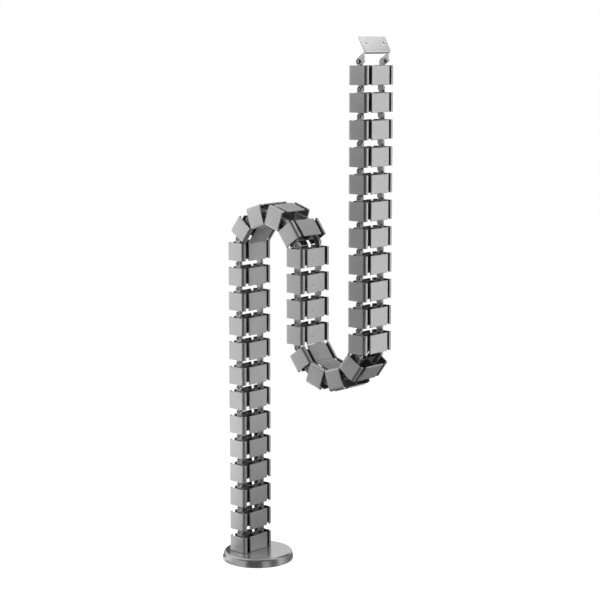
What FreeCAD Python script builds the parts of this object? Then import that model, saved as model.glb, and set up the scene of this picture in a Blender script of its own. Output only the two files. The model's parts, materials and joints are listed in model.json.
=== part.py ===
import FreeCAD, Part
import math
import os

import Sketcher
from FreeCAD import Placement, Rotation, Vector

# Cable spine: a chain of 36 moulded links between a round weighted base and a folded steel desk bracket.
#
# Frame: millimetres, +Z up, origin at the centre of the base's underside. The chain lies in the XZ plane
# and every hinge axis runs along Y. The narrow faces of a link face -Y and +Y, its slotted faces -X and +X.

# Driving dimensions in millimetres, angles in degrees
SIZES = {
    # The chain
    "pitch": 35.0,
    "bend_angle": 36.0,
    "stop_gap": 0.12,
    "spine_offset": 14.2,
    "first_pivot": 5.2,
    # One link: depth is along X, width along Y
    "link_height": 25.0,
    "link_depth": 29.7,
    "link_width": 58.2,
    "wall": 2.0,
    "corner": 1.7,
    "strip_width": 5.5,
    "panel_width": 35.2,
    "panel_proud": 1.1,
    "web": 1.6,
    "web_drop": 0.3,
    # Hinge lugs: the upper pair of a link stands outside the lower pair of the next
    "lug_radius": 4.2,
    "lug_flat": 1.74,
    "lug_thickness": 2.4,
    "lug_root": 4.85,
    "upper_lug_face": 24.0,
    "lower_lug_face": 21.35,
    # Base
    "base_radius": 51.0,
    "base_height": 13.0,
    "base_bevel": 2.8,
    "pad_radius": 48.0,
    "pad_thickness": 0.8,
    "spigot_depth": 8.0,
    "socket_play": 0.05,
    # Bracket: its frame has the pivot at the origin, the plate's normal along X and its slope along Z
    "sheet": 1.6,
    "plate_tilt": 61.6,
    "plate_width": 53.6,
    "plate_face": 15.8,
    "plate_bottom": 4.9,
    "plate_top": 27.6,
    "plate_wing_bottom": 7.0,
    "plate_bend": 2.4,
    "plate_hole_radius": 2.25,
    "plate_hole_spacing": 35.4,
    "plate_hole_height": 16.8,
    "flange_length": 4.5,
    "ear_face": 25.8,
    "ear_radius": 4.9,
    "ear_toe": 8.4,
    "ear_shoulder": 11.0,
    "pin_radius": 1.6,
    "pin_play": 0.05,
    "pin_head_radius": 2.8,
    "pin_head_height": 1.1,
}

# How many links stand straight and how many bend, from the base to the bracket
LEFT_COLUMN = 13
BEND = 4
MIDDLE_COLUMN = 4
RIGHT_COLUMN = 11

DOC = FreeCAD.newDocument("cable_spine")


def make_sheet():
    """The spreadsheet that holds every driving dimension under an alias."""
    sheet = DOC.addObject("Spreadsheet::Sheet", "Sizes")
    for row, (alias, value) in enumerate(SIZES.items(), start=1):
        sheet.set(f"A{row}", alias)
        sheet.set(f"B{row}", str(value))
        sheet.setAlias(f"B{row}", alias)
    DOC.recompute()
    return sheet


SHEET = make_sheet()


def size(alias):
    """A driving dimension as a number."""
    return float(SHEET.get(alias))


# Expressions that several sketches share
HALF_DEPTH = "Sizes.link_depth / 2"
HALF_WIDTH = "Sizes.link_width / 2"
HALF_HEIGHT = "Sizes.link_height / 2"
HALF_PANEL = "Sizes.panel_width / 2"
INNER_DEPTH = "(Sizes.link_depth / 2 - Sizes.wall)"
INNER_WIDTH = "(Sizes.link_width / 2 - Sizes.wall)"
FRONT_DEPTH = "(Sizes.link_depth / 2 + Sizes.panel_proud)"
STRIP_EDGE = "(Sizes.link_width / 2 - Sizes.strip_width)"
OUTSIDE = "Sizes.link_depth"
STOP_SLOPE = "tan(Sizes.bend_angle * 1deg / 2)"
STOP_TOP = "(Sizes.pitch / 2 - Sizes.stop_gap)"
STOP_START = f"(({STOP_TOP} - {HALF_HEIGHT}) / {STOP_SLOPE})"
STOP_END = f"({STOP_TOP} - {OUTSIDE} * {STOP_SLOPE})"
WEB_TOP = f"({HALF_HEIGHT} - Sizes.web_drop)"
FLOOR = "(Sizes.base_height - Sizes.first_pivot - Sizes.pitch / 2)"


# Sketch helpers
def origin_plane(body, role):
    """The body's own origin plane with this role."""
    return next(item for item in body.Origin.OriginFeatures if item.Role == role)


def new_sketch(body, name, role, offset=None):
    """An empty sketch on an origin plane, moved along its normal by an expression."""
    sketch = body.newObject("Sketcher::SketchObject", name)
    sketch.AttachmentSupport = [(origin_plane(body, role), "")]
    sketch.MapMode = "FlatFace"
    if offset:
        sketch.setExpression("AttachmentOffset.Base.z", offset)
    return sketch


def pin_point(sketch, geometry, point, across, up):
    """Hold a sketch point at two distances from the origin, each given by an expression."""
    for kind, axis, expression in (("DistanceX", -2, across), ("DistanceY", -1, up)):
        if expression == "0":
            sketch.addConstraint(Sketcher.Constraint("PointOnObject", geometry, point, axis))
            continue
        index = sketch.addConstraint(Sketcher.Constraint(kind, -1, 1, geometry, point, 1.0))
        sketch.setExpression(f"Constraints[{index}]", expression)


def add_polygon(sketch, points):
    """A closed outline whose corners are pairs of expressions."""
    count = len(points)
    turn = 2 * math.pi / count
    corners = [Vector(math.cos(turn * k), math.sin(turn * k), 0) for k in range(count)]
    lines = [
        sketch.addGeometry(Part.LineSegment(corners[k], corners[(k + 1) % count]))
        for k in range(count)
    ]
    for k, line in enumerate(lines):
        following = lines[(k + 1) % count]
        sketch.addConstraint(Sketcher.Constraint("Coincident", line, 2, following, 1))
        pin_point(sketch, line, 1, *points[k])


def add_circle(sketch, across, up, radius):
    """A circle whose centre and radius are expressions."""
    circle = sketch.addGeometry(Part.Circle(Vector(1, 1, 0), Vector(0, 0, 1), 1.0))
    pin_point(sketch, circle, 3, across, up)
    index = sketch.addConstraint(Sketcher.Constraint("Radius", circle, 1.0))
    sketch.setExpression(f"Constraints[{index}]", radius)


def extrude(body, kind, name, sketch, length, both_ways=False, backwards=False):
    """A Pad or a Pocket of this sketch, its length given by an expression."""
    feature = body.newObject(f"PartDesign::{kind}", name)
    feature.Profile = sketch
    feature.SideType = "Symmetric" if both_ways else "One side"
    feature.Reversed = backwards
    feature.setExpression("Length", length)
    sketch.Visibility = False
    return feature


def new_body(label):
    """An empty body under the name that its file gets."""
    body = DOC.addObject("PartDesign::Body", label)
    body.Label = label
    return body


def cloned_body(label, source):
    """A body that starts from another body's shape."""
    body = new_body(label)
    start = body.newObject("PartDesign::FeatureBase", f"{label}_start")
    start.BaseFeature = source
    body.Tip = start
    return body


# Links
def link_outline():
    """A link's outline from above, with flattened corners and the front panel standing proud."""
    near_corner = f"({HALF_DEPTH} - Sizes.corner)"
    side_corner = f"({HALF_WIDTH} - Sizes.corner)"
    quarter = [(near_corner, HALF_WIDTH), (HALF_DEPTH, side_corner)]
    front = [(x, f"-({y})") for x, y in quarter]
    front += [(HALF_DEPTH, f"-({HALF_PANEL})"), (FRONT_DEPTH, f"-({HALF_PANEL})")]
    front += [(FRONT_DEPTH, HALF_PANEL), (HALF_DEPTH, HALF_PANEL)]
    front += list(reversed(quarter))
    back = [(f"-({x})", y) for x, y in quarter]
    back += [(f"-({x})", f"-({y})") for x, y in reversed(quarter)]
    return front + back


def link_cavity():
    """The hollow of a link from above: four compartments, each open to the outside through a slot."""
    panel_back = f"({INNER_DEPTH} + Sizes.panel_proud)"
    front = [(INNER_DEPTH, INNER_WIDTH), (INNER_DEPTH, STRIP_EDGE)]
    front += [(OUTSIDE, STRIP_EDGE), (OUTSIDE, HALF_PANEL), (panel_back, HALF_PANEL)]
    back = [(INNER_DEPTH, HALF_PANEL), (OUTSIDE, HALF_PANEL)]
    back += [(OUTSIDE, STRIP_EDGE), (INNER_DEPTH, STRIP_EDGE), (INNER_DEPTH, INNER_WIDTH)]
    outline = [(x, f"-({y})") for x, y in front]
    outline += list(reversed(front))
    outline += [(f"-({x})", y) for x, y in reversed(back)]
    outline += [(f"-({x})", f"-({y})") for x, y in back]
    return outline


def link_webs():
    """The cross that joins the narrow walls to each other and to the slotted panels."""
    half_web = "Sizes.web / 2"
    back = f"-({INNER_DEPTH})"
    front = f"({INNER_DEPTH} + Sizes.panel_proud)"
    end = INNER_WIDTH
    minus_web = f"-({half_web})"
    lengthwise = [(half_web, f"-{end}"), (half_web, minus_web)]
    cross = [(front, minus_web), (front, half_web)]
    outline = lengthwise + cross + [(half_web, half_web), (half_web, end)]
    outline += [(minus_web, end), (minus_web, half_web)]
    outline += [(back, half_web), (back, minus_web)]
    outline += [(minus_web, minus_web), (minus_web, f"-{end}")]
    return outline


def cut_stops(body):
    """Slope both ends of the proud front panel, so that neighbours meet face to face at the full bend."""
    corners = [(STOP_START, HALF_HEIGHT), (OUTSIDE, HALF_HEIGHT), (OUTSIDE, STOP_END)]
    for end, up in (("top", ""), ("bottom", "-")):
        sketch = new_sketch(body, f"{body.Name}_stop_{end}_sketch", "XZ_Plane")
        add_polygon(sketch, [(x, f"{up}({z})") for x, z in corners])
        extrude(body, "Pocket", f"{body.Name}_stop_{end}", sketch, "2 * Sizes.link_width", True)


def lug_outline(way):
    """A hinge lug from the side, upright for way "" and hanging for way "-"."""
    pivot = "Sizes.pitch / 2"
    root = f"({HALF_HEIGHT} - Sizes.lug_root)"
    shoulder = f"({pivot} + Sizes.lug_flat)"
    crown = f"({pivot} + Sizes.lug_radius)"
    half = [("Sizes.lug_radius", root), ("Sizes.lug_radius", shoulder), ("Sizes.lug_flat", crown)]
    outline = [(x, f"{way}{z}") for x, z in half]
    outline += [(f"-{x}", f"{way}{z}") for x, z in reversed(half)]
    return outline


def pillar_section(side, play="0"):
    """The section of a pillar, for the far side "" or the near side "-", grown all round by the play."""
    across = f"(Sizes.lug_radius + {play})"
    inside = f"(Sizes.lower_lug_face - Sizes.lug_thickness - {play})"
    outside = f"(Sizes.upper_lug_face + {play})"
    corners = [(across, inside), (across, outside), (f"-{across}", outside), (f"-{across}", inside)]
    return [(x, f"{side}{y}") for x, y in corners]


def add_pillars(body):
    """The two upright bars on the web that carry the lugs."""
    for name, side in (("far", ""), ("near", "-")):
        sketch = new_sketch(body, f"pillar_{name}_sketch", "XY_Plane")
        add_polygon(sketch, pillar_section(side))
        extrude(body, "Pad", f"pillar_{name}", sketch, f"2 * {WEB_TOP}", True)


def add_lugs(body, place, way):
    """A pair of hinge lugs, one on each pillar."""
    face = f"Sizes.{place}_lug_face"
    for side, offset, backwards in (("near", face, True), ("far", f"-{face}", False)):
        name = f"{body.Name}_{place}_lug_{side}"
        sketch = new_sketch(body, f"{name}_sketch", "XZ_Plane", offset)
        add_polygon(sketch, lug_outline(way))
        extrude(body, "Pad", name, sketch, "Sizes.lug_thickness", backwards=backwards)


def make_link_blank():
    """A link without its lower lugs: slotted shell, webs, pillars and the upper lugs."""
    body = new_body("link_blank")
    outline = new_sketch(body, "link_outline", "XY_Plane")
    add_polygon(outline, link_outline())
    extrude(body, "Pad", "link_shell", outline, "Sizes.link_height", True)
    cut_stops(body)
    cavity = new_sketch(body, "link_cavity", "XY_Plane")
    add_polygon(cavity, link_cavity())
    extrude(body, "Pocket", "link_hollow", cavity, "2 * Sizes.link_height", True)
    webs = new_sketch(body, "link_webs", "XY_Plane")
    add_polygon(webs, link_webs())
    extrude(body, "Pad", "link_cross", webs, f"2 * {WEB_TOP}", True)
    add_pillars(body)
    add_lugs(body, "upper", "")
    return body


def make_link_pattern(blank):
    """The link that the chain repeats."""
    body = cloned_body("link_pattern", blank)
    add_lugs(body, "lower", "-")
    return body


def link_stations():
    """Where each link stands: its centre's X and Z, and its lean about Y in degrees."""
    bend = size("bend_angle")
    over = [bend * (k + 1) for k in range(BEND)]
    under = [bend * (BEND - k) for k in range(BEND)]
    leans = [0.0] * LEFT_COLUMN + over + [bend * (BEND + 1)] * MIDDLE_COLUMN
    leans += under + [0.0] * RIGHT_COLUMN
    half = size("pitch") / 2
    x, z = -size("spine_offset"), size("first_pivot")
    stations = []
    for lean in leans:
        step_x = half * math.sin(math.radians(lean))
        step_z = half * math.cos(math.radians(lean))
        stations.append((x + step_x, z + step_z, lean))
        x += 2 * step_x
        z += 2 * step_z
    return stations


def station_placement(x, z, lean):
    """The placement of a link whose centre is at X and Z and which leans about Y."""
    return Placement(Vector(x, 0, z), Rotation(Vector(0, 1, 0), lean))


def last_pivot():
    """The pivot at the top of the last link, as X and Z."""
    x, z, lean = link_stations()[-1]
    half = size("pitch") / 2
    return x + half * math.sin(math.radians(lean)), z + half * math.cos(math.radians(lean))


def make_foot_link(blank):
    """The first link: cut flat where it stands on the base, its pillars running on down as two spigots."""
    body = cloned_body("link_01", blank)
    cut = new_sketch(body, "foot_cut_sketch", "XY_Plane", FLOOR)
    reach = "Sizes.link_width"
    corners = [(reach, reach), (f"-{reach}", reach), (f"-{reach}", f"-{reach}"), (reach, f"-{reach}")]
    add_polygon(cut, corners)
    extrude(body, "Pocket", "foot_cut", cut, "Sizes.link_height")
    for name, side in (("far", ""), ("near", "-")):
        spigot = new_sketch(body, f"spigot_{name}_sketch", "XY_Plane", FLOOR)
        add_polygon(spigot, pillar_section(side))
        extrude(body, "Pad", f"spigot_{name}", spigot, "Sizes.spigot_depth", backwards=True)
    return body


def make_top_link(pattern):
    """The last link: its upper lugs are bored for the bracket's pins."""
    body = cloned_body(link_name(len(link_stations())), pattern)
    sketch = new_sketch(body, "top_bore_sketch", "XZ_Plane")
    add_circle(sketch, "0", "Sizes.pitch / 2", "(Sizes.pin_radius + Sizes.pin_play)")
    extrude(body, "Pocket", "top_bore", sketch, "2 * Sizes.link_width", True)
    return body


def link_name(number):
    """The node name of a link, counted from the base."""
    return f"link_{number:02d}"


def make_links():
    """All the links in their places along the chain."""
    blank = make_link_blank()
    pattern = make_link_pattern(blank)
    stations = link_stations()
    links = [make_foot_link(blank)]
    links += [cloned_body(link_name(k), pattern) for k in range(2, len(stations))]
    links.append(make_top_link(pattern))
    for body, station in zip(links, stations):
        body.Placement = station_placement(*station)
    return links


# Base
def make_base_weight():
    """The cast weight: a low disc with a bevelled rim and two sockets for the foot link's spigots."""
    body = new_body("base_weight")
    profile = new_sketch(body, "base_profile", "XZ_Plane")
    under = "Sizes.pad_thickness"
    corners = [("0", under), ("Sizes.base_radius", under)]
    corners += [("Sizes.base_radius", "(Sizes.base_height - Sizes.base_bevel)")]
    corners += [("(Sizes.base_radius - Sizes.base_bevel)", "Sizes.base_height"), ("0", "Sizes.base_height")]
    add_polygon(profile, corners)
    disc = body.newObject("PartDesign::Revolution", "base_disc")
    disc.Profile = profile
    disc.ReferenceAxis = (profile, ["V_Axis"])
    disc.Angle = 360
    profile.Visibility = False
    for name, side in (("far", ""), ("near", "-")):
        socket = new_sketch(body, f"socket_{name}_sketch", "XY_Plane", "Sizes.base_height")
        section = pillar_section(side, "Sizes.socket_play")
        add_polygon(socket, [(f"({x} - Sizes.spine_offset)", y) for x, y in section])
        extrude(body, "Pocket", f"socket_{name}", socket, "(Sizes.spigot_depth + Sizes.socket_play)")
    return body


def make_base_pad():
    """The non-slip pad under the weight."""
    return new_solid("Cylinder", "base_pad", {"Radius": "Sizes.pad_radius", "Height": "Sizes.pad_thickness"})


def new_solid(kind, name, dimensions, placement=Placement()):
    """A Part primitive whose dimensions are expressions."""
    solid = DOC.addObject(f"Part::{kind}", name)
    for dimension, expression in dimensions.items():
        solid.setExpression(dimension, expression)
    solid.Placement = placement
    solid.Label = name
    return solid


def fuse(name, first, second):
    """Two solids joined into one."""
    fused = DOC.addObject("Part::Fuse", name)
    fused.Base = first
    fused.Tool = second
    return fused


def group(label, members):
    """One node that holds several equal fasteners as separate solids."""
    node = DOC.addObject("Part::Compound", label)
    node.Links = members
    node.Label = label
    return node


# Bracket
def add_ear_outline(sketch):
    """An ear from the side: round about the pivot, then widening to the flange and the plate's back."""
    radius = size("ear_radius")
    toe = Vector(size("ear_toe"), -radius, 0)
    heel = Vector(size("plate_face") - 2 * size("sheet"), size("plate_bottom"), 0)
    crest = Vector(heel.x, size("plate_bottom") + size("sheet"), 0)
    shoulder = Vector(size("ear_shoulder"), crest.y, 0)
    lean = math.acos(radius / shoulder.Length) + math.atan2(shoulder.y, shoulder.x)
    tangent = Vector(radius * math.cos(lean), radius * math.sin(lean), 0)
    bottom = Vector(0, -radius, 0)
    tip = Vector(-radius, 0, 0)
    round_end = sketch.addGeometry(Part.Arc(tangent, tip, bottom))
    corners = [bottom, toe, heel, crest, shoulder, tangent]
    lines = [
        sketch.addGeometry(Part.LineSegment(start, end))
        for start, end in zip(corners, corners[1:])
    ]
    for line, following in zip(lines, lines[1:]):
        sketch.addConstraint(Sketcher.Constraint("Coincident", line, 2, following, 1))
    pin_point(sketch, round_end, 3, "0", "0")
    index = sketch.addConstraint(Sketcher.Constraint("Radius", round_end, radius))
    sketch.setExpression(f"Constraints[{index}]", "Sizes.ear_radius")
    sketch.addConstraint(Sketcher.Constraint("Tangent", round_end, 1, lines[-1], 2))
    sketch.addConstraint(Sketcher.Constraint("Tangent", round_end, 2, lines[0], 1))
    back = "(Sizes.plate_face - 2 * Sizes.sheet)"
    crest_height = "(Sizes.plate_bottom + Sizes.sheet)"
    pin_point(sketch, lines[1], 1, "Sizes.ear_toe", "-Sizes.ear_radius")
    pin_point(sketch, lines[2], 1, back, "Sizes.plate_bottom")
    pin_point(sketch, lines[3], 1, back, crest_height)
    pin_point(sketch, lines[4], 1, "Sizes.ear_shoulder", crest_height)


def make_bracket():
    """The desk bracket: one folded sheet with a screw plate, a short flange and two ears on the pivot."""
    body = new_body("bracket")
    back = "(Sizes.plate_face - Sizes.sheet)"
    flange_end = "(Sizes.plate_face - Sizes.flange_length)"
    flange_top = "(Sizes.plate_bottom + Sizes.sheet)"
    fold = new_sketch(body, "fold_sketch", "XZ_Plane")
    corners = [(flange_end, "Sizes.plate_bottom"), ("Sizes.plate_face", "Sizes.plate_bottom")]
    corners += [("Sizes.plate_face", "Sizes.plate_top"), (back, "Sizes.plate_top")]
    corners += [(back, flange_top), (flange_end, flange_top)]
    add_polygon(fold, corners)
    folded = extrude(body, "Pad", "fold", fold, "2 * Sizes.ear_face", True)
    DOC.recompute()
    add_fold_fillet(body, folded)
    wings = new_sketch(body, "wings_sketch", "XZ_Plane")
    corners = [("Sizes.plate_face", "Sizes.plate_wing_bottom"), ("Sizes.plate_face", "Sizes.plate_top")]
    corners += [(back, "Sizes.plate_top"), (back, "Sizes.plate_wing_bottom")]
    add_polygon(wings, corners)
    extrude(body, "Pad", "wings", wings, "Sizes.plate_width", True)
    for side, offset, backwards in (("near", "Sizes.ear_face", True), ("far", "-Sizes.ear_face", False)):
        ear = new_sketch(body, f"ear_{side}_sketch", "XZ_Plane", offset)
        add_ear_outline(ear)
        extrude(body, "Pad", f"ear_{side}", ear, "Sizes.sheet", backwards=backwards)
    pivot = new_sketch(body, "pivot_sketch", "XZ_Plane")
    add_circle(pivot, "0", "0", "(Sizes.pin_radius + Sizes.pin_play / 2)")
    extrude(body, "Pocket", "pivot_bore", pivot, "2 * Sizes.plate_width", True)
    holes = new_sketch(body, "screw_hole_sketch", "YZ_Plane")
    for side in ("", "-"):
        across = f"{side}Sizes.plate_hole_spacing / 2"
        add_circle(holes, across, "Sizes.plate_hole_height", "Sizes.plate_hole_radius")
    extrude(body, "Pocket", "screw_holes", holes, "3 * Sizes.plate_face", True)
    body.Placement = bracket_placement()
    return body


def add_fold_fillet(body, folded):
    """Round the outside of the fold between the plate and the flange."""
    def on_fold(edge):
        middle = edge.CenterOfMass
        near_x = abs(middle.x - size("plate_face")) < size("sheet") / 2
        near_z = abs(middle.z - size("plate_bottom")) < size("sheet") / 2
        return near_x and near_z and edge.Length > size("ear_face")

    names = [f"Edge{k}" for k, edge in enumerate(folded.Shape.Edges, start=1) if on_fold(edge)]
    fillet = body.newObject("PartDesign::Fillet", "fold_round")
    fillet.Base = (folded, names)
    fillet.setExpression("Radius", "Sizes.plate_bend")
    return fillet


def bracket_placement():
    """The bracket's place: its pivot on the last link's, its plate at its tilt from the horizontal."""
    x, z = last_pivot()
    return Placement(Vector(x, 0, z), Rotation(Vector(0, 1, 0), size("plate_tilt") - 90))


def make_bracket_pin(name, side):
    """A headed pin from outside an ear into the last link's upper lug."""
    x, z = last_pivot()
    seat = Vector(x, side * size("ear_face"), z)
    length = "(Sizes.ear_face - Sizes.upper_lug_face + Sizes.lug_thickness)"
    inward = Placement(seat, Rotation(Vector(0, 0, 1), Vector(0, -side, 0)))
    outward = Placement(seat, Rotation(Vector(0, 0, 1), Vector(0, side, 0)))
    shank = new_solid("Cylinder", f"{name}_shank", {"Radius": "Sizes.pin_radius", "Height": length}, inward)
    head = {"Radius": "Sizes.pin_head_radius", "Height": "Sizes.pin_head_height"}
    return fuse(name, shank, new_solid("Cylinder", f"{name}_head", head, outward))


def make_bracket_pins():
    """The two headed pins that the bracket swings on."""
    pins = [make_bracket_pin("bracket_pin_near", -1), make_bracket_pin("bracket_pin_far", 1)]
    return group("bracket_pins", pins)


def check_document():
    """Stop if an object failed to compute."""
    for item in DOC.Objects:
        if "Invalid" in item.State or "Error" in item.State:
            raise RuntimeError(f"{item.Label} failed: {item.State}")


def check_sub_part(item):
    """Stop if a sub-part has no valid solid."""
    shape = item.Shape
    if shape.isNull() or not shape.isValid() or not shape.Solids:
        raise RuntimeError(f"{item.Label} has no valid solid")


def main():
    sub_parts = [make_base_weight(), make_base_pad()]
    sub_parts += make_links()
    sub_parts += [make_bracket(), make_bracket_pins()]
    DOC.recompute()
    check_document()
    for item in sub_parts:
        check_sub_part(item)
    os.makedirs("parts", exist_ok=True)
    for item in sub_parts:
        item.Shape.exportStep(f"parts/{item.Label}.step")
        print(f"{item.Label}: {len(item.Shape.Solids)} solid(s), {item.Shape.Volume:.1f} mm3")


main()
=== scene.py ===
import json
import math

import bmesh
import bpy
from mathutils import Euler, Matrix, Vector


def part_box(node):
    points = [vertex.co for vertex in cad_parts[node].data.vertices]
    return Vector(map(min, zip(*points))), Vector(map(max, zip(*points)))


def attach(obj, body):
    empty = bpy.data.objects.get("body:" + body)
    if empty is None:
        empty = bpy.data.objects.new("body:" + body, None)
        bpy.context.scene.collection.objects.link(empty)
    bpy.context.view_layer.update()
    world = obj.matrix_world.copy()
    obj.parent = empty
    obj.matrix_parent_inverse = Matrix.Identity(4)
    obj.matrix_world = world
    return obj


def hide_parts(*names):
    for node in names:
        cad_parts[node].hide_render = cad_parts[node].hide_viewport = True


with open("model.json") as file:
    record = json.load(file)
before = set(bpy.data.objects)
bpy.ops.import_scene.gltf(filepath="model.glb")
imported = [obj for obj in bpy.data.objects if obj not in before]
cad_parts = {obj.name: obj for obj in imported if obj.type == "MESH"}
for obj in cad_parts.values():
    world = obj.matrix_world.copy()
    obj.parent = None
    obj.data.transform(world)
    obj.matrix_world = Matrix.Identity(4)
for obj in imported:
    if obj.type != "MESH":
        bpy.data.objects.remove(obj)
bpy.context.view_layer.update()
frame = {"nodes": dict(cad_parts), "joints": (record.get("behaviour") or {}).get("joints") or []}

MM = 0.001

# Camera: measured from the photograph's two vanishing directions and the chain's pitch
CAMERA_PLACE = Vector((1.5710, -1.71475, 0.73374))
CAMERA_AZIMUTH = math.radians(41.019)
CAMERA_ELEVATION = math.radians(8.808)
CAMERA_LENS = 101.07

# The chain, in millimetres
PITCH = 35.0
LINKS = 36
STOP_SLOPE = math.tan(math.radians(18))
STOP_TOP = 17.38
HALF_HEIGHT = 12.5
HALF_DEPTH = 14.85
HALF_WIDTH = 29.1
WALL = 2.0
CORNER_RADIUS = 3.6
PANEL_HALF = 18.0
PANEL_PROUD = 1.1
STRIP_EDGE = 23.2
WEB_HALF = 0.8
WEB_TOP = 12.2
WEB_INSET = 0.6
LUG_RADIUS = 4.2
LUG_ROOT = 2.0
UPPER_LUG = (21.6, 24.0)
LOWER_LUG = (18.95, 21.35)
LUG_HOLE = 2.7
PIN_HOLE = 1.65

# The snap bosses and the recesses round them, painted dark as shade, in millimetres
BOSS_RADIUS = 1.45
BOSS_SUNK = 0.15
BOSS_CHAMFER = 0.2
RECESS_PLAY = 0.05
RECESS_ROOT = 0.4
RECESS_FLOOR = 0.1

# Roundings, in millimetres
EDGE_ROUND = 0.3
PANEL_ROUND = 0.55
LUG_ROUND = 0.25
WEB_ROUND = 0.2

# The foot link's drawn-in band where it stands on the base, painted dark as the contact shade there: its
# height, its overlap and how far it is drawn in
JOINT_SHADE_HEIGHT = 0.6
JOINT_SHADE_OVERLAP = 0.1
JOINT_SHADE_SHRINK = (0.97, 0.985, 1)

# Shading: faces larger than this, in square metres, stay flat, and faces turned further apart stay sharp
LARGE_FACE = 25e-6
SAME_SIDE = 0.45

# The weight's outline, in millimetres: its foot, its slightly drawn-in side and its rounded shoulder
BASE_FOOT_RADIUS = 50.3
BASE_FOOT_ROUND = 0.6
BASE_SIDE_TOP = 49.1
BASE_SHOULDER = 3.8
BASE_SHOULDER_RADIUS = 45.3
BASE_TOP_RADIUS = 43.0

# The studio, in metres, watts and degrees
WORLD_LEVEL = 0.15
FLOOR_HALF = 60.0
FLOOR_LEVEL = 0.6
FLOOR_GLOW = 0.92
# Soft boxes: name, place, aim, size and power
LAMPS = (
    ("left", (-0.62, -0.47, 0.60), (-0.02, 0.0, 0.42), (0.30, 1.1), 9.8),
    ("right", (0.62, 0.42, 0.56), (0.20, 0.0, 0.42), (0.30, 1.1), 9),
    ("top", (0.2, 0.3, 1.7), (0.1, 0.0, 0.4), (0.8, 0.8), 1.5),
)
# Dark upright cards: name, first and last angle, lower and upper edge
CARDS = (
    ("card_side", -127.5, -100, 0.12, 0.715),
    ("card_front", -100, 22, 0.12, 2.2),
    ("card_back", 47.5, 100, 0.12, 1.17),
    ("card_rear", 100, 150, 0.45, 0.95),
    ("card_low_left", -92, -38, 0.0, 0.12),
    ("card_low_middle", -12, 20, 0.0, 0.12),
    ("card_low_right", 64, 84, 0.0, 0.12),
    ("card_low_back", 137, 180, 0.0, 0.12),
)
CARD_LEVEL = 0.05
CARD_STEP = 6
CARD_RADIUS = 0.8
CARD_CENTRE = (0.1, 0.0)
# Dark cards lying on the floor: name, first and last angle, inner and outer radius
GROUND_CARDS = (
    ("card_ground", -130, 140, 0.056, 1.1),
    ("card_ground_left", 178, 216, 0.0515, 0.10),
)
GROUND_CARD_HEIGHT = 0.0012
# The small dark card that stands close behind the base, seen in reflections alone, puts a painted shade on
# the left of the base's top: its two ends, lower and upper edge
NEAR_SHADE_CARD = ((-0.0914, 0.0103), (-0.0739, 0.0266), 0.002, 0.06)


# Mesh helpers
def new_object(name, mesh):
    obj = bpy.data.objects.new(name, mesh)
    bpy.context.collection.objects.link(obj)
    return obj


def arc(centre, radius, start, end, steps):
    """Points on an arc, angles in degrees, both ends included."""
    angles = [math.radians(start + (end - start) * k / steps) for k in range(steps + 1)]
    return [(centre[0] + radius * math.cos(a), centre[1] + radius * math.sin(a)) for a in angles]


def prism(bm, outline, low, high, to_space):
    """A closed prism over an outline of (u, v) points from low to high, each corner placed by to_space."""
    bottom = [bm.verts.new(to_space(u, v, low)) for u, v in outline]
    top = [bm.verts.new(to_space(u, v, high)) for u, v in outline]
    bm.faces.new(list(reversed(bottom)))
    bm.faces.new(top)
    count = len(outline)
    for k in range(count):
        n = (k + 1) % count
        bm.faces.new((bottom[k], bottom[n], top[n], top[k]))


def upright(u, v, w):
    """An outline seen from above, pushed along Z."""
    return Vector((u, v, w))


def sideways(u, v, w):
    """An outline in the XZ plane, pushed along Y."""
    return Vector((u, w, v))


def round_edges(bm, width, segments, angle=30):
    """Round every edge sharper than the angle."""
    bmesh.ops.recalc_face_normals(bm, faces=bm.faces)
    sharp = [e for e in bm.edges if len(e.link_faces) == 2 and e.calc_face_angle() > math.radians(angle)]
    bmesh.ops.bevel(
        bm, geom=sharp, offset=width, offset_type="OFFSET", segments=segments, profile=0.5,
        affect="EDGES", clamp_overlap=True, harden_normals=False,
    )


def paint_shade_inside(bm, is_inside):
    """Give the faces inside a link the second material, a dark grey painted on as the shade inside the
    link.
    """
    bm.normal_update()
    for face in bm.faces:
        if is_inside(face):
            face.material_index = 1


def finished(bm, name):
    """The bmesh as a mesh in metres, its flats shaded flat and its roundings smooth."""
    bmesh.ops.recalc_face_normals(bm, faces=bm.faces)
    bmesh.ops.scale(bm, vec=(MM, MM, MM), verts=bm.verts)
    mesh = bpy.data.meshes.new(name)
    bm.to_mesh(mesh)
    bm.free()
    keep_flats(mesh)
    return mesh


def keep_flats(mesh):
    """Give each corner of a large face that face's own normal, and let small faces run smoothly into it."""
    mesh.shade_smooth()
    around = [[] for _ in mesh.vertices]
    for face in mesh.polygons:
        for corner in face.vertices:
            around[corner].append(face)
    normals = []
    for face in mesh.polygons:
        for corner in face.vertices:
            near = [face] if face.area > LARGE_FACE else around[corner]
            total = Vector()
            for other in near:
                if other.normal.dot(face.normal) > SAME_SIDE:
                    total += other.normal * other.area
            normals.append(total.normalized())
    mesh.normals_split_custom_set(normals)


def spin(bm, profile, steps, place):
    """Rings of corners from (radius, distance) pairs, with bands of faces between: returns both."""
    turn = [2 * math.pi * k / steps for k in range(steps)]
    rings, bands = [], []
    for radius, distance in profile:
        angles = turn if radius else [0.0]
        rings.append([
            bm.verts.new(place(radius * math.cos(a), radius * math.sin(a), distance)) for a in angles
        ])
    for lower, upper in zip(rings, rings[1:]):
        band = []
        for k in range(steps):
            pairs = [(lower, k), (lower, (k + 1) % steps), (upper, (k + 1) % steps), (upper, k)]
            corners = [ring[index % len(ring)] for ring, index in pairs]
            band.append(bm.faces.new(list(dict.fromkeys(corners))))
        bands.append(band)
    return rings, bands


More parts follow.
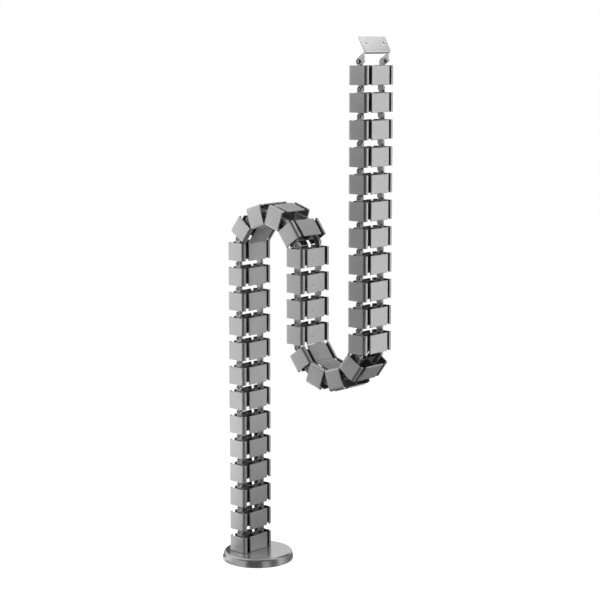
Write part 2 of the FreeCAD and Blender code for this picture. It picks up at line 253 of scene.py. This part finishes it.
def joined(parts):
    """Several bmeshes put into one."""
    whole = bmesh.new()
    for part in parts:
        mesh = bpy.data.meshes.new("part")
        part.to_mesh(mesh)
        part.free()
        whole.from_mesh(mesh)
        bpy.data.meshes.remove(mesh)
    return whole


# One link
def end_height(x):
    """How high a link's end stands at this distance from its middle plane: the bend stops slope away."""
    return min(HALF_HEIGHT, STOP_TOP - abs(x) * STOP_SLOPE)


def shape_ends(bm):
    """Cut the creases of the bend stops and slope both ends beyond them."""
    crease = (STOP_TOP - HALF_HEIGHT) / STOP_SLOPE
    for x in (-crease, crease):
        geom = list(bm.verts) + list(bm.edges) + list(bm.faces)
        bmesh.ops.bisect_plane(bm, geom=geom, plane_co=(x, 0, 0), plane_no=(1, 0, 0), dist=1e-5)
    for v in bm.verts:
        if abs(abs(v.co.z) - HALF_HEIGHT) < 1e-4:
            v.co.z = math.copysign(end_height(v.co.x), v.co.z)


def faces_inward(face):
    """True for a wall's face that looks at the link's middle."""
    middle = face.calc_center_median()
    outward = Vector((middle.x / HALF_DEPTH, middle.y / HALF_WIDTH, 0))
    if abs(face.normal.z) > 0.5:
        return False
    return face.normal.dot(outward) < -0.02


def channel(side):
    """A narrow wall with its two strips and rounded corners, on the far side (1) or the near side (-1)."""
    inner_x, inner_y = HALF_DEPTH - WALL, HALF_WIDTH - WALL
    inner_radius = CORNER_RADIUS - WALL
    outer = [(HALF_DEPTH, STRIP_EDGE)]
    outer += arc((HALF_DEPTH - CORNER_RADIUS, HALF_WIDTH - CORNER_RADIUS), CORNER_RADIUS, 0, 90, 8)
    outer += arc((-HALF_DEPTH + CORNER_RADIUS, HALF_WIDTH - CORNER_RADIUS), CORNER_RADIUS, 90, 180, 8)
    outer += [(-HALF_DEPTH, STRIP_EDGE), (-inner_x, STRIP_EDGE)]
    inner = arc((-inner_x + inner_radius, inner_y - inner_radius), inner_radius, 180, 90, 4)
    inner += arc((inner_x - inner_radius, inner_y - inner_radius), inner_radius, 90, 0, 4)
    outline = outer + inner + [(inner_x, STRIP_EDGE)]
    bm = bmesh.new()
    prism(bm, [(x, side * y) for x, y in outline], -HALF_HEIGHT, HALF_HEIGHT, upright)
    shape_ends(bm)
    round_edges(bm, EDGE_ROUND, 2, 34)
    # The faces that look inwards get the dark second material: painted shade inside the link.
    paint_shade_inside(bm, faces_inward)
    return bm


def panel(side):
    """A slotted side's middle panel: the front one (1) stands proud, the back one (-1) is flush."""
    proud = PANEL_PROUD if side > 0 else 0.0
    inside, outside = HALF_DEPTH - WALL + proud, HALF_DEPTH + proud
    outline = [(inside, -PANEL_HALF), (outside, -PANEL_HALF), (outside, PANEL_HALF), (inside, PANEL_HALF)]
    bm = bmesh.new()
    prism(bm, [(side * x, y) for x, y in outline], -HALF_HEIGHT, HALF_HEIGHT, upright)
    shape_ends(bm)
    round_edges(bm, PANEL_ROUND, 3)
    # The faces that look inwards get the dark second material: painted shade inside the link.
    paint_shade_inside(bm, faces_inward)
    return bm


def webs():
    """The cross inside: one web between the narrow walls, one between the panels."""
    parts = []
    reach_x, reach_y = HALF_DEPTH - WEB_INSET, HALF_WIDTH - WEB_INSET
    for outline in (
        [(-WEB_HALF, -reach_y), (WEB_HALF, -reach_y), (WEB_HALF, reach_y), (-WEB_HALF, reach_y)],
        [(-reach_x, -WEB_HALF), (reach_x, -WEB_HALF), (reach_x, WEB_HALF), (-reach_x, WEB_HALF)],
    ):
        bm = bmesh.new()
        prism(bm, outline, -WEB_TOP, WEB_TOP, upright)
        round_edges(bm, WEB_ROUND, 1)
        # The webs get the dark second material all over: painted shade inside the link.
        paint_shade_inside(bm, lambda face: True)
        parts.append(bm)
    return joined(parts)


def pillar(side):
    """The upright bar on the web that carries one upper and one lower lug."""
    inside, outside = LOWER_LUG[0], UPPER_LUG[1]
    outline = [(-LUG_RADIUS, inside), (LUG_RADIUS, inside), (LUG_RADIUS, outside), (-LUG_RADIUS, outside)]
    bm = bmesh.new()
    prism(bm, [(x, side * y) for x, y in outline], -WEB_TOP, WEB_TOP, upright)
    round_edges(bm, LUG_ROUND, 2)
    return bm


def lug(span, way, side, hole=0.0):
    """A hinge lug with a round tip, its middle bored when a hole radius is given."""
    pivot = PITCH / 2
    tip = arc((0, pivot), LUG_RADIUS, 0, 180, 24)
    outline = [(-LUG_RADIUS, WEB_TOP - LUG_ROOT), (LUG_RADIUS, WEB_TOP - LUG_ROOT)] + tip
    low, high = span
    bm = bmesh.new()
    if hole:
        ring_lug(bm, outline, (0, pivot), hole, low, high, way, side)
    else:
        prism(bm, [(x, way * z) for x, z in outline], side * low, side * high, sideways)
    round_edges(bm, LUG_ROUND, 2, 40)
    return bm


def ring_lug(bm, outline, centre, hole, low, high, way, side):
    """A lug's slab with a round hole: each outline corner is joined to the hole's rim."""
    count = len(outline)
    rings = []
    for y in (side * low, side * high):
        outer = [bm.verts.new(sideways(x, way * z, y)) for x, z in outline]
        inner = []
        for x, z in outline:
            angle = math.atan2(z - centre[1], x - centre[0])
            point = (centre[0] + hole * math.cos(angle), centre[1] + hole * math.sin(angle))
            inner.append(bm.verts.new(sideways(point[0], way * point[1], y)))
        rings.append((outer, inner))
    (outer_a, inner_a), (outer_b, inner_b) = rings
    for k in range(count):
        n = (k + 1) % count
        bm.faces.new((outer_a[k], outer_a[n], inner_a[n], inner_a[k]))
        bm.faces.new((outer_b[n], outer_b[k], inner_b[k], inner_b[n]))
        bm.faces.new((outer_a[n], outer_a[k], outer_b[k], outer_b[n]))
        # The bore's wall gets the dark second material: painted shade in the hole.
        bm.faces.new((inner_a[k], inner_a[n], inner_b[n], inner_b[k])).material_index = 1


def boss(side):
    """The snap boss on a lower lug, in a recess painted dark as shade, that sits in the neighbour's upper
    lug.
    """
    wall, root, floor = LUG_HOLE - RECESS_PLAY, LOWER_LUG[1] - RECESS_ROOT, LOWER_LUG[1] + RECESS_FLOOR
    top = UPPER_LUG[1] - BOSS_SUNK
    profile = [(wall, root), (wall, floor), (BOSS_RADIUS, floor)]
    profile += [(BOSS_RADIUS, top - BOSS_CHAMFER), (BOSS_RADIUS - BOSS_CHAMFER, top), (0.0, top)]
    bm = bmesh.new()
    rings, bands = spin(bm, profile, 28, lambda x, z, y: (x, side * y, z - PITCH / 2))
    # The recess's wall and floor and the boss's side get the dark second material: painted shade in the
    # recess.
    for band in bands[:3]:
        for face in band:
            face.material_index = 1
    bm.faces.new(list(reversed(rings[0])))
    return bm


def link_mesh(name, top_hole=LUG_HOLE):
    """One moulded link about its own centre."""
    parts = [channel(1), channel(-1), panel(1), panel(-1), webs(), pillar(1), pillar(-1)]
    for side in (1, -1):
        parts += [lug(UPPER_LUG, 1, side, top_hole), lug(LOWER_LUG, -1, side), boss(side)]
    return finished(joined(parts), name)


def trimmed(bm, height, way):
    """Keep what lies above (way 1) or below (way -1) a height, and close the cut."""
    geom = list(bm.verts) + list(bm.edges) + list(bm.faces)
    bmesh.ops.bisect_plane(
        bm, geom=geom, plane_co=(0, 0, height), plane_no=(0, 0, way), clear_inner=True, dist=1e-5,
    )
    bmesh.ops.contextual_create(bm, geom=[e for e in bm.edges if e.is_boundary])
    return bm


def foot_mesh(name, floor):
    """The first link: cut flat where it stands on the base, with a drawn-in band along its foot painted
    dark as the contact shade.
    """
    line = floor + JOINT_SHADE_HEIGHT
    parts = [trimmed(bm, line, 1) for bm in (channel(1), channel(-1), panel(1), panel(-1))]
    parts += [trimmed(bm, floor, 1) for bm in (webs(), pillar(1), pillar(-1))]
    parts += [lug(UPPER_LUG, 1, side, LUG_HOLE) for side in (1, -1)]
    for bm in (channel(1), channel(-1), panel(1), panel(-1)):
        trimmed(trimmed(bm, floor, 1), line + JOINT_SHADE_OVERLAP, -1)
        bmesh.ops.scale(bm, vec=JOINT_SHADE_SHRINK, verts=bm.verts)
        # The drawn-in band is modelled; its dark second material is painted contact shade.
        paint_shade_inside(bm, lambda face: True)
        parts.append(bm)
    return finished(joined(parts), name)


# Placing the links
def chain_pivots():
    """The hinge points from the base to the bracket, with the foot link's own lower point first."""
    places = {joint["name"]: Vector(joint["pos_m"]) for joint in frame["joints"]}
    pivots = [places[f"joint_{k:02d}"] for k in range(1, LINKS)] + [places["bracket_hinge"]]
    foot = pivots[0] - Vector((0, 0, PITCH * MM))
    return [foot] + pivots


def link_matrix(lower, upper):
    """The place of a link between its two pivots, its hinges along Y."""
    up = (upper - lower).normalized()
    across = Vector((0, 1, 0))
    front = across.cross(up)
    turn = Matrix((front, across, up)).transposed()
    return Matrix.Translation((lower + upper) / 2) @ turn.to_4x4()


def link_number(k):
    return f"link_{k:02d}"


def body_of_link(k):
    return "base" if k == 1 else f"segment_{k:02d}"


# The second material, inside, is the dark grey painted on as the shade inside the links.
def add_links(outside, inside):
    pivots = chain_pivots()
    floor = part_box("base_weight")[1].z - (pivots[0].z + PITCH * MM / 2)
    meshes = {1: foot_mesh("foot_link", floor / MM), LINKS: link_mesh("top_link", PIN_HOLE)}
    usual = link_mesh("vertebra")
    for mesh in list(meshes.values()) + [usual]:
        mesh.materials.append(outside)
        mesh.materials.append(inside)
    for k in range(1, LINKS + 1):
        piece = new_object(f"vertebra_{k:02d}", meshes.get(k, usual))
        piece.matrix_world = link_matrix(pivots[k - 1], pivots[k])
        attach(piece, body_of_link(k))
        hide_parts(link_number(k))


# Base
def lathe(name, profile, steps):
    """A turned piece about Z from (radius, height) pairs in millimetres, closed at radius zero."""
    bm = bmesh.new()
    spin(bm, profile, steps, upright)
    return finished(bm, name)


def base_profile():
    """The weight from its underside's middle over the rim to the top's middle."""
    low, high = [corner.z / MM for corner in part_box("base_weight")]
    shoulder = high - BASE_SHOULDER
    profile = [(0.0, low), (BASE_FOOT_RADIUS, low)]
    profile += arc((BASE_FOOT_RADIUS, low + BASE_FOOT_ROUND), BASE_FOOT_ROUND, -90, 0, 4)[1:]
    profile += [(BASE_SIDE_TOP, shoulder)]
    profile += arc((BASE_SHOULDER_RADIUS, shoulder), BASE_SHOULDER, 8, 90, 12)
    profile += [(BASE_TOP_RADIUS, high), (0.0, high)]
    return profile


def add_base(material):
    piece = new_object("weighted_base", lathe("weighted_base", base_profile(), 160))
    piece.data.materials.append(material)
    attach(piece, "base")
    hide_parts("base_weight")


# Materials
def new_material(name, color, metallic, roughness):
    material = bpy.data.materials.new(name)
    material.use_nodes = True
    shader = material.node_tree.nodes["Principled BSDF"]
    shader.inputs["Base Color"].default_value = (*color, 1)
    shader.inputs["Metallic"].default_value = metallic
    shader.inputs["Roughness"].default_value = roughness
    return material, shader


def noise(tree, scale, detail, vector):
    node = tree.nodes.new("ShaderNodeTexNoise")
    node.inputs["Scale"].default_value = scale
    node.inputs["Detail"].default_value = detail
    tree.links.new(vector, node.inputs["Vector"])
    return node.outputs["Fac"]


def ramp(tree, factor, low, high):
    """The factor mapped from 0.3..0.7 onto two values."""
    node = tree.nodes.new("ShaderNodeMapRange")
    node.inputs["From Min"].default_value = 0.3
    node.inputs["From Max"].default_value = 0.7
    node.inputs["To Min"].default_value = low
    node.inputs["To Max"].default_value = high
    tree.links.new(factor, node.inputs["Value"])
    return node.outputs["Result"]


def grey(tree, value):
    node = tree.nodes.new("ShaderNodeCombineColor")
    for channel_name in ("Red", "Green", "Blue"):
        tree.links.new(value, node.inputs[channel_name])
    return node.outputs["Color"]


def satin(name, level, metallic, roughness, grain, depth=0.00004, flecks=0.06):
    """A satin grey with a faint fleck, a soft cloudiness in its gloss and a fine moulded grain."""
    material, shader = new_material(name, (level, level, level), metallic, roughness)
    tree = material.node_tree
    place = tree.nodes.new("ShaderNodeTexCoord").outputs["Object"]
    fleck = ramp(tree, noise(tree, 2600.0, 3.0, place), level * (1 - flecks), level * (1 + flecks))
    tree.links.new(grey(tree, fleck), shader.inputs["Base Color"])
    cloud = noise(tree, 90.0, 4.0, place)
    tree.links.new(ramp(tree, cloud, roughness - 0.03, roughness + 0.03), shader.inputs["Roughness"])
    bump = tree.nodes.new("ShaderNodeBump")
    bump.inputs["Strength"].default_value = 0.12
    bump.inputs["Distance"].default_value = depth
    tree.links.new(noise(tree, grain, 2.0, place), bump.inputs["Height"])
    tree.links.new(bump.outputs["Normal"], shader.inputs["Normal"])
    return material


def ringed_painted_shade(name, pivot, light, dark, inner):
    """The bracket's pins: a light middle and a dark ring round it, both about the pins' axis; the dark ring
    is painted shade for the gap round the pin head.
    """
    material, shader = new_material(name, (light, light, light), 0.4, 0.35)
    tree = material.node_tree
    place = tree.nodes.new("ShaderNodeTexCoord").outputs["Object"]
    away = tree.nodes.new("ShaderNodeVectorMath")
    away.operation = "SUBTRACT"
    away.inputs[1].default_value = pivot
    flat = tree.nodes.new("ShaderNodeVectorMath")
    flat.operation = "MULTIPLY"
    flat.inputs[1].default_value = (1, 0, 1)
    radius = tree.nodes.new("ShaderNodeVectorMath")
    radius.operation = "LENGTH"
    tree.links.new(place, away.inputs[0])
    tree.links.new(away.outputs[0], flat.inputs[0])
    tree.links.new(flat.outputs[0], radius.inputs[0])
    # Past the inner radius the colour turns dark: painted shade for the gap round the pin head.
    shade = tree.nodes.new("ShaderNodeMapRange")
    shade.inputs["From Min"].default_value = inner - 0.0001
    shade.inputs["From Max"].default_value = inner + 0.0001
    shade.inputs["To Min"].default_value = light
    shade.inputs["To Max"].default_value = dark
    tree.links.new(radius.outputs["Value"], shade.inputs["Value"])
    tree.links.new(grey(tree, shade.outputs["Result"]), shader.inputs["Base Color"])
    cloud = noise(tree, 400.0, 4.0, place)
    tree.links.new(ramp(tree, cloud, 0.32, 0.38), shader.inputs["Roughness"])
    return material


def set_material(node, material):
    mesh = frame["nodes"][node].data
    mesh.materials.clear()
    mesh.materials.append(material)


def soften(node, width):
    """Round the sharp edges of a CAD node that stays in view."""
    bevel = frame["nodes"][node].modifiers.new("round", "BEVEL")
    bevel.width = width
    bevel.segments = 2
    bevel.limit_method = "ANGLE"
    bevel.angle_limit = math.radians(40)
    bevel.harden_normals = True


# Studio
def add_camera():
    data = bpy.data.cameras.new("camera")
    data.lens = CAMERA_LENS
    data.sensor_width = 36.0
    data.clip_start = 0.05
    camera = bpy.data.objects.new("camera", data)
    bpy.context.collection.objects.link(camera)
    turn = Euler((math.pi / 2 - CAMERA_ELEVATION, 0, CAMERA_AZIMUTH))
    camera.matrix_world = Matrix.LocRotScale(CAMERA_PLACE, turn, None)
    bpy.context.scene.camera = camera


def add_area(name, place, aim, size, power):
    """A tall or wide soft box that lights the object and doesn't show in it as a hard spot."""
    data = bpy.data.lights.new(name, "AREA")
    data.shape = "RECTANGLE"
    data.size, data.size_y = size
    data.energy = power
    light = bpy.data.objects.new(name, data)
    bpy.context.collection.objects.link(light)
    direction = Vector(aim) - Vector(place)
    light.matrix_world = Matrix.Translation(place) @ direction.to_track_quat("-Z", "Y").to_matrix().to_4x4()
    light.visible_camera = False
    light.visible_glossy = False


def seen_factor(tree):
    """One for the rays that show the background: from the camera, in a reflection or through glass."""
    path = tree.nodes.new("ShaderNodeLightPath")
    factor = path.outputs["Is Camera Ray"]
    for ray in ("Is Glossy Ray", "Is Transmission Ray"):
        most = tree.nodes.new("ShaderNodeMath")
        most.operation = "MAXIMUM"
        tree.links.new(factor, most.inputs[0])
        tree.links.new(path.outputs[ray], most.inputs[1])
        factor = most.outputs[0]
    return factor


def add_world():
    world = bpy.data.worlds.new("studio")
    bpy.context.scene.world = world
    world.use_nodes = True
    tree = world.node_tree
    lit = tree.nodes["Background"]
    lit.inputs["Color"].default_value = (1, 1, 1, 1)
    lit.inputs["Strength"].default_value = WORLD_LEVEL
    white = tree.nodes.new("ShaderNodeBackground")
    white.inputs["Color"].default_value = (1, 1, 1, 1)
    white.inputs["Strength"].default_value = 1.0
    mix = tree.nodes.new("ShaderNodeMixShader")
    tree.links.new(seen_factor(tree), mix.inputs[0])
    tree.links.new(lit.outputs[0], mix.inputs[1])
    tree.links.new(white.outputs[0], mix.inputs[2])
    tree.links.new(mix.outputs[0], tree.nodes["World Output"].inputs["Surface"])


def add_floor():
    """A pale floor that shows white, with the object's own shadow on it."""
    mesh = bpy.data.meshes.new("floor")
    corners = [(x * FLOOR_HALF, y * FLOOR_HALF, 0) for x, y in ((-1, -1), (1, -1), (1, 1), (-1, 1))]
    mesh.from_pydata(corners, [], [(0, 1, 2, 3)])
    floor = new_object("floor", mesh)
    material, shader = new_material("floor", (FLOOR_LEVEL,) * 3, 0.0, 0.8)
    shader.inputs["Specular IOR Level"].default_value = 0.0
    tree = material.node_tree
    level = tree.nodes.new("ShaderNodeMath")
    level.operation = "MULTIPLY"
    level.inputs[1].default_value = FLOOR_GLOW
    tree.links.new(seen_factor(tree), level.inputs[0])
    shader.inputs["Emission Color"].default_value = (1, 1, 1, 1)
    tree.links.new(level.outputs[0], shader.inputs["Emission Strength"])
    mesh.materials.append(material)


def add_card(name, start, end, low, high):
    """A dark upright studio card, curved about the object, that only its reflections see."""
    steps = max(2, int(abs(end - start) / CARD_STEP))
    line = arc(CARD_CENTRE, CARD_RADIUS, start, end, steps)
    dark_strip(name, [(x, y, low) for x, y in line], [(x, y, high) for x, y in line])


def add_ground_card(name, start, end, inner, outer):
    """The same dark card lying on the floor around the base."""
    steps = max(2, int(abs(end - start) / CARD_STEP))
    lines = [arc((0.0, 0.0), radius, start, end, steps) for radius in (inner, outer)]
    near, far = [[(x, y, GROUND_CARD_HEIGHT) for x, y in line] for line in lines]
    dark_strip(name, near, far)


def add_flat_card(name, start, end, low, high):
    """A small dark card standing close behind the base, seen in reflections alone, that puts a painted
    shade on the base's top.
    """
    dark_strip(name, [(*start, low), (*end, low)], [(*start, high), (*end, high)])


def dark_strip(name, first, second):
    """A dark strip between two lines of points, seen in reflections alone."""
    mesh = bpy.data.meshes.new(name)
    count = len(first)
    faces = [(k, k + 1, count + k + 1, count + k) for k in range(count - 1)]
    mesh.from_pydata(first + second, [], faces)
    piece = new_object(name, mesh)
    mesh.materials.append(new_material(name, (CARD_LEVEL,) * 3, 0.0, 1.0)[0])
    piece.visible_camera = False
    piece.visible_diffuse = False
    piece.visible_shadow = False
    piece.visible_transmission = False


def main():
    link_plastic = satin("link_plastic", 0.50, 0.66, 0.3, 5200.0)
    # The insides of the links are the same plastic; this dark grey is painted shade for how dark they lie.
    link_inside_painted_shade = satin("link_inside_painted_shade", 0.10, 0.2, 0.5, 5200.0)
    base_coat = satin("base_coat", 0.45, 0.75, 0.22, 4200.0, 0.00001)
    bracket_coat = satin("bracket_coat", 0.78, 0.75, 0.22, 4200.0, 0.00001, 0.015)
    pivot = next(joint["pos_m"] for joint in frame["joints"] if joint["name"] == "bracket_hinge")
    pin_steel = ringed_painted_shade("pin_steel", pivot, 0.9, 0.01, 0.00125)
    pad_rubber = satin("pad_rubber", 0.03, 0.0, 0.8, 3000.0)
    add_links(link_plastic, link_inside_painted_shade)
    add_base(base_coat)
    set_material("base_pad", pad_rubber)
    set_material("bracket", bracket_coat)
    set_material("bracket_pins", pin_steel)
    soften("bracket", 0.00025)
    soften("bracket_pins", 0.0002)
    add_camera()
    add_world()
    add_floor()
    for card in CARDS:
        add_card(*card)
    for card in GROUND_CARDS:
        add_ground_card(*card)
    # A painted shade on the left of the base's top, where the chain's shadow falls, by a dark card in its
    # reflection.
    add_flat_card("card_base_painted_shade", *NEAR_SHADE_CARD)
    for lamp in LAMPS:
        add_area(*lamp)
    bpy.context.scene.view_settings.view_transform = "Standard"


main()
